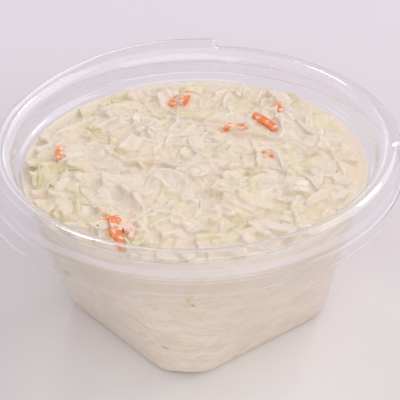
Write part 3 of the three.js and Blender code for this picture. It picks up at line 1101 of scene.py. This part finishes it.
level = height_map(upper)
for vert, crease in zip(upper, creases):
    i, j = cell_of(vert)
    depth = clamp(0.5 + (vert.co.z - level[i][j]) / RELIEF_DEPTH + CREASE_SHARE * crease)
    edge_share = smoothstep(math.hypot(vert.co.x, vert.co.y), *PLAIN_EDGE)
    vert[relief] = depth + edge_share * (PLAIN_RELIEF - depth)
    vert[under] = pile_tones[pile.find_nearest(vert.co)[2]] * (1 - edge_share)
    for stain, spots in zip(stains, (carrot_spots, green_spots)):
        vert[stain] = 1 - smoothstep(spots.find_nearest(vert.co)[3], *STAIN_REACH)

# Run the coat out to the middle of the plastic, with a low meniscus where it wets it.
for vert in upper:
    radius = math.hypot(vert.co.x, vert.co.y)
    share = smoothstep(radius, *WETTED_EDGE)
    scale = 1 + share * (wall_radius(vert.co.z) / radius - 1)
    vert.co.x *= scale
    vert.co.y *= scale
    if vert.co.z > FILL_LEVEL - 1:
        vert.co.z += MENISCUS * share
for face in coat.faces:
    middle = face.calc_center_median()
    if math.hypot(middle.x, middle.y) > PRESSED_RADIUS and middle.z < FILL_LEVEL:
        face.material_index = 1
cut = bmesh.ops.bisect_plane(
    coat, geom=coat.verts[:] + coat.edges[:] + coat.faces[:], dist=0.0001,
    plane_co=(0, 0, COAT_BOTTOM + 0.6), plane_no=(0, 0, 1), clear_inner=True,
)
rim = [edge for edge in cut["geom_cut"] if isinstance(edge, bmesh.types.BMEdge)]
bottom = bmesh.ops.holes_fill(coat, edges=rim)["faces"]
bmesh.ops.triangulate(coat, faces=bottom)
bmesh.ops.recalc_face_normals(coat, faces=coat.faces[:])


def add_leaf_hues(tree):
    """White cabbage from its pale ribs to its yellow leaf, by the tone of each piece."""
    return add_ramp(
        tree, add_attribute(tree, "tone"), (0, (0.85, 0.74, 0.68, 1)),
        (0.2, (0.86, 0.73, 0.60, 1)), (0.4, (0.85, 0.675, 0.565, 1)),
        (0.65, (0.83, 0.705, 0.46, 1)), (1, (0.69, 0.62, 0.29, 1)),
    )


dressing, tree, shader, place = new_material("creamy_dressing", {"IOR": 1.48})
let_light_in(tree, shader, 0.5, 1.2)
# Painted shade and highlight: darker brown in the hollows and creases, pale on the crests.
relief_painted_shade = add_ramp(
    tree, add_attribute(tree, "relief"), (0.1, (0.70, 0.54, 0.30, 1)),
    (0.4, (0.83, 0.69, 0.52, 1)), (0.6, (0.85, 0.735, 0.60, 1)), (0.9, (0.92, 0.82, 0.74, 1)),
)
blotches = add_noise(tree, place, 130, 2)
thin = add_range(tree, blotches, 0.4, 0.6, 0.3, 0.95)
tint = add_mix(tree, thin, (0.845, 0.73, 0.62, 1), add_leaf_hues(tree))
tint = add_mix(tree, 0.6, relief_painted_shade, tint)
clouds = add_split(tree, add_noise(tree, place, 170, output="Color"))
for cloud, colour in (("Green", (0.79, 0.71, 0.48, 1)), ("Blue", (0.86, 0.69, 0.60, 1))):
    share = add_range(tree, clouds[cloud], 0.5, 0.7, 0, 0.4)
    tint = add_mix(tree, share, tint, colour)
for name, colour, strength in (
    ("by_carrot", (0.90, 0.56, 0.36, 1), 0.5), ("by_green", (0.74, 0.67, 0.36, 1), 0.55),
):
    share = add_range(tree, add_attribute(tree, name), 0, 1, 0, strength)
    tint = add_mix(tree, share, tint, colour)
tree.links.new(tint, shader.inputs["Base Color"])
patches = add_noise(tree, place, 90)
tree.links.new(add_range(tree, patches, 0.3, 0.7, 0.12, 0.32), shader.inputs["Roughness"])
grit = add_noise(tree, place, 1200, 3, 0.6)
add_bump(tree, grit, 0.0006, 0.6, shader)
top_coat = settle(coat, "dressing", dressing, pressed)
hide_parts("coleslaw")

# The cut cabbage that stands out of the dressing.
leaf, tree, shader, place = new_material("dressed_cabbage_leaf", {
    "Roughness": 0.36, "IOR": 1.48,
})
let_light_in(tree, shader, 0.15, 0.4)
fibres = add_fibres(tree, 3, 22, 1.5)
stringy = add_range(tree, fibres, 0.35, 0.75, 0, 0.25)
veined = add_mix(tree, stringy, add_leaf_hues(tree), (0.87, 0.77, 0.65, 1))
smear = add_range(tree, add_noise(tree, place, 160), 0.4, 0.6, 0.1, 0.65)
coated = add_mix(tree, smear, veined, (0.85, 0.73, 0.61, 1))
tree.links.new(coated, shader.inputs["Base Color"])
add_bump(tree, fibres, 0.00012, 0.5, shader)

for pieces, name in ((chips, "cabbage_chips"), (shreds, "cabbage_shreds")):
    piece = settle(pieces, name, leaf, flat=pieces == chips)
    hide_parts("coleslaw")

# ---------------------------------------------------------------------------------------
# Seasoning: coarse ground pepper, stirred in with the dressing, of which a few specks show.

PEPPER_COUNT = 22
PEPPER_REACH = 52
# Specks that lie in plain sight: x, y, size.
SHOWN_PEPPER = [
    (-32.8, -45.5, 1.3), (-32.6, -40.2, 1.1), (-12.8, -0.4, 0.7), (17.0, -38.2, 0.6),
    (20.2, -31.7, 0.6), (-49.9, -10.9, 1.8), (-48.9, -12.6, 1.3), (49.0, -8.0, 0.9),
]

top = BVHTree.FromPolygons(
    [vert.co / MM - AXIS / MM for vert in top_coat.data.vertices],
    [face.vertices for face in top_coat.data.polygons],
)
pepper = bmesh.new()
spots = [(x, y, rng.uniform(0.3, 0.55)) for x, y in scatter(PEPPER_COUNT, PEPPER_REACH, rng)]
for x, y, size in spots + SHOWN_PEPPER:
    spot = Matrix.Translation((x, y, height_under(top, x, y) + 0.05))
    turn = Euler([rng.uniform(0, math.pi) for axis in range(3)]).to_matrix().to_4x4()
    shape = Matrix.Diagonal((size, size * rng.uniform(0.3, 0.6), size * 0.4, 1))
    bmesh.ops.create_icosphere(
        pepper, subdivisions=1, radius=0.5, matrix=spot @ turn @ shape,
    )
ground_pepper, tree, shader, place = new_material("ground_pepper", {"Roughness": 0.4})
husk = add_range(tree, add_noise(tree, place, 700, 2), 0.35, 0.65)
cracked = add_mix(tree, husk, (0.10, 0.06, 0.04, 1), (0.34, 0.22, 0.13, 1))
tree.links.new(cracked, shader.inputs["Base Color"])
specks = settle(pepper, "pepper_specks", ground_pepper)
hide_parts("coleslaw")

# ---------------------------------------------------------------------------------------
# The table, the light and the camera.

bm = bmesh.new()
bmesh.ops.create_grid(bm, x_segments=1, y_segments=1, size=3.0)
floor = put_in_scene("floor", make_mesh(bm, "floor"))
paper, tree, shader, place = new_material("pale_paper", {"Roughness": 0.7})
axes = add_axes(tree, place)
# Painted shade: the paper is darker towards the camera and darkest to the near left, where the
# cup's shadow falls and the light falls off.
right_side = add_range(tree, axes["X"], -0.10, 0.02)
near_shaded = add_mix(tree, right_side, (0.54, 0.505, 0.525, 1), (0.69, 0.65, 0.665, 1))
far = add_range(tree, axes["Y"], -0.12, 0.2)
table = add_mix(tree, far, near_shaded, (0.745, 0.68, 0.748, 1))
# Painted light: the paper is made paler beside the cup's foot, which weakens the cup's shadow
# there.
beside_foot = add_node(
    tree, "ShaderNodeVectorMath", {0: place, 1: (-0.005, -0.06, 0)}, operation="DISTANCE",
).outputs["Value"]
painted_light_by_foot = add_range(tree, beside_foot, 0.03, 0.12, 1, 0)
table = add_mix(tree, painted_light_by_foot, table, (0.86, 0.835, 0.85, 1))
tree.links.new(table, shader.inputs["Base Color"])
floor.data.materials.append(paper)
floor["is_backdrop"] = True


def add_softbox(name, where, width, height, watts, colour):
    """A soft lamp that looks at the cup."""
    lamp = bpy.data.lights.new(name, "AREA")
    lamp.shape = "RECTANGLE"
    lamp.size = width
    lamp.size_y = height
    lamp.energy = watts
    lamp.color = colour
    holder = put_in_scene(name, lamp)
    holder.location = where
    aim = Vector((0, 0, 0.04)) - holder.location
    holder.rotation_euler = aim.to_track_quat("-Z", "Y").to_euler()


add_softbox("softbox_right", (1.09, 0.63, 1.14), 1.8, 1.2, 8.9, (1, 0.985, 0.97))
add_softbox("softbox_left", (-1.23, 0.57, 0.85), 0.6, 0.6, 0.9, (1, 0.99, 1))
add_softbox("softbox_back", (-0.25, 1.39, 0.75), 0.45, 0.68, 0.9, (1, 0.99, 1))
add_softbox("softbox_front", (0.2, -1.6, 0.9), 2.6, 1.3, 12.0, (1, 0.985, 0.97))
add_softbox("spark_lamp_left", (-0.28, 0.98, 1.22), 0.2, 0.2, 1.3, (1, 1, 1))
add_softbox("spark_lamp_right", (0.62, 1.0, 1.1), 0.2, 0.2, 1.3, (1, 1, 1))

world = bpy.data.worlds.new("studio")
world.use_nodes = True
sky = world.node_tree.nodes["Background"]
sky.inputs["Color"].default_value = (0.95, 0.94, 0.95, 1)
sky.inputs["Strength"].default_value = 0.64
bpy.context.scene.world = world
bpy.context.scene.view_settings.view_transform = "Standard"

lens = bpy.data.cameras.new("camera")
lens.lens = 180
lens.sensor_width = 36
lens.clip_end = 10
camera = put_in_scene("camera", lens)
right = Vector((0.99968065, -0.0156147, -0.01986893))
up = Vector((0.0251688, 0.5447901, 0.83819465))
back = Vector((-0.00226376, -0.83842706, 0.54500913))
turn = Matrix((right, up, back)).transposed().to_4x4()
camera.matrix_world = Matrix.Translation(Vector((0, -0.592375, 0.426923)) + AXIS) @ turn
bpy.context.scene.camera = camera

boxes = {"cad": cad_box, "scene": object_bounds()}
{name: [list(corner) for corner in box] for name, box in boxes.items()}
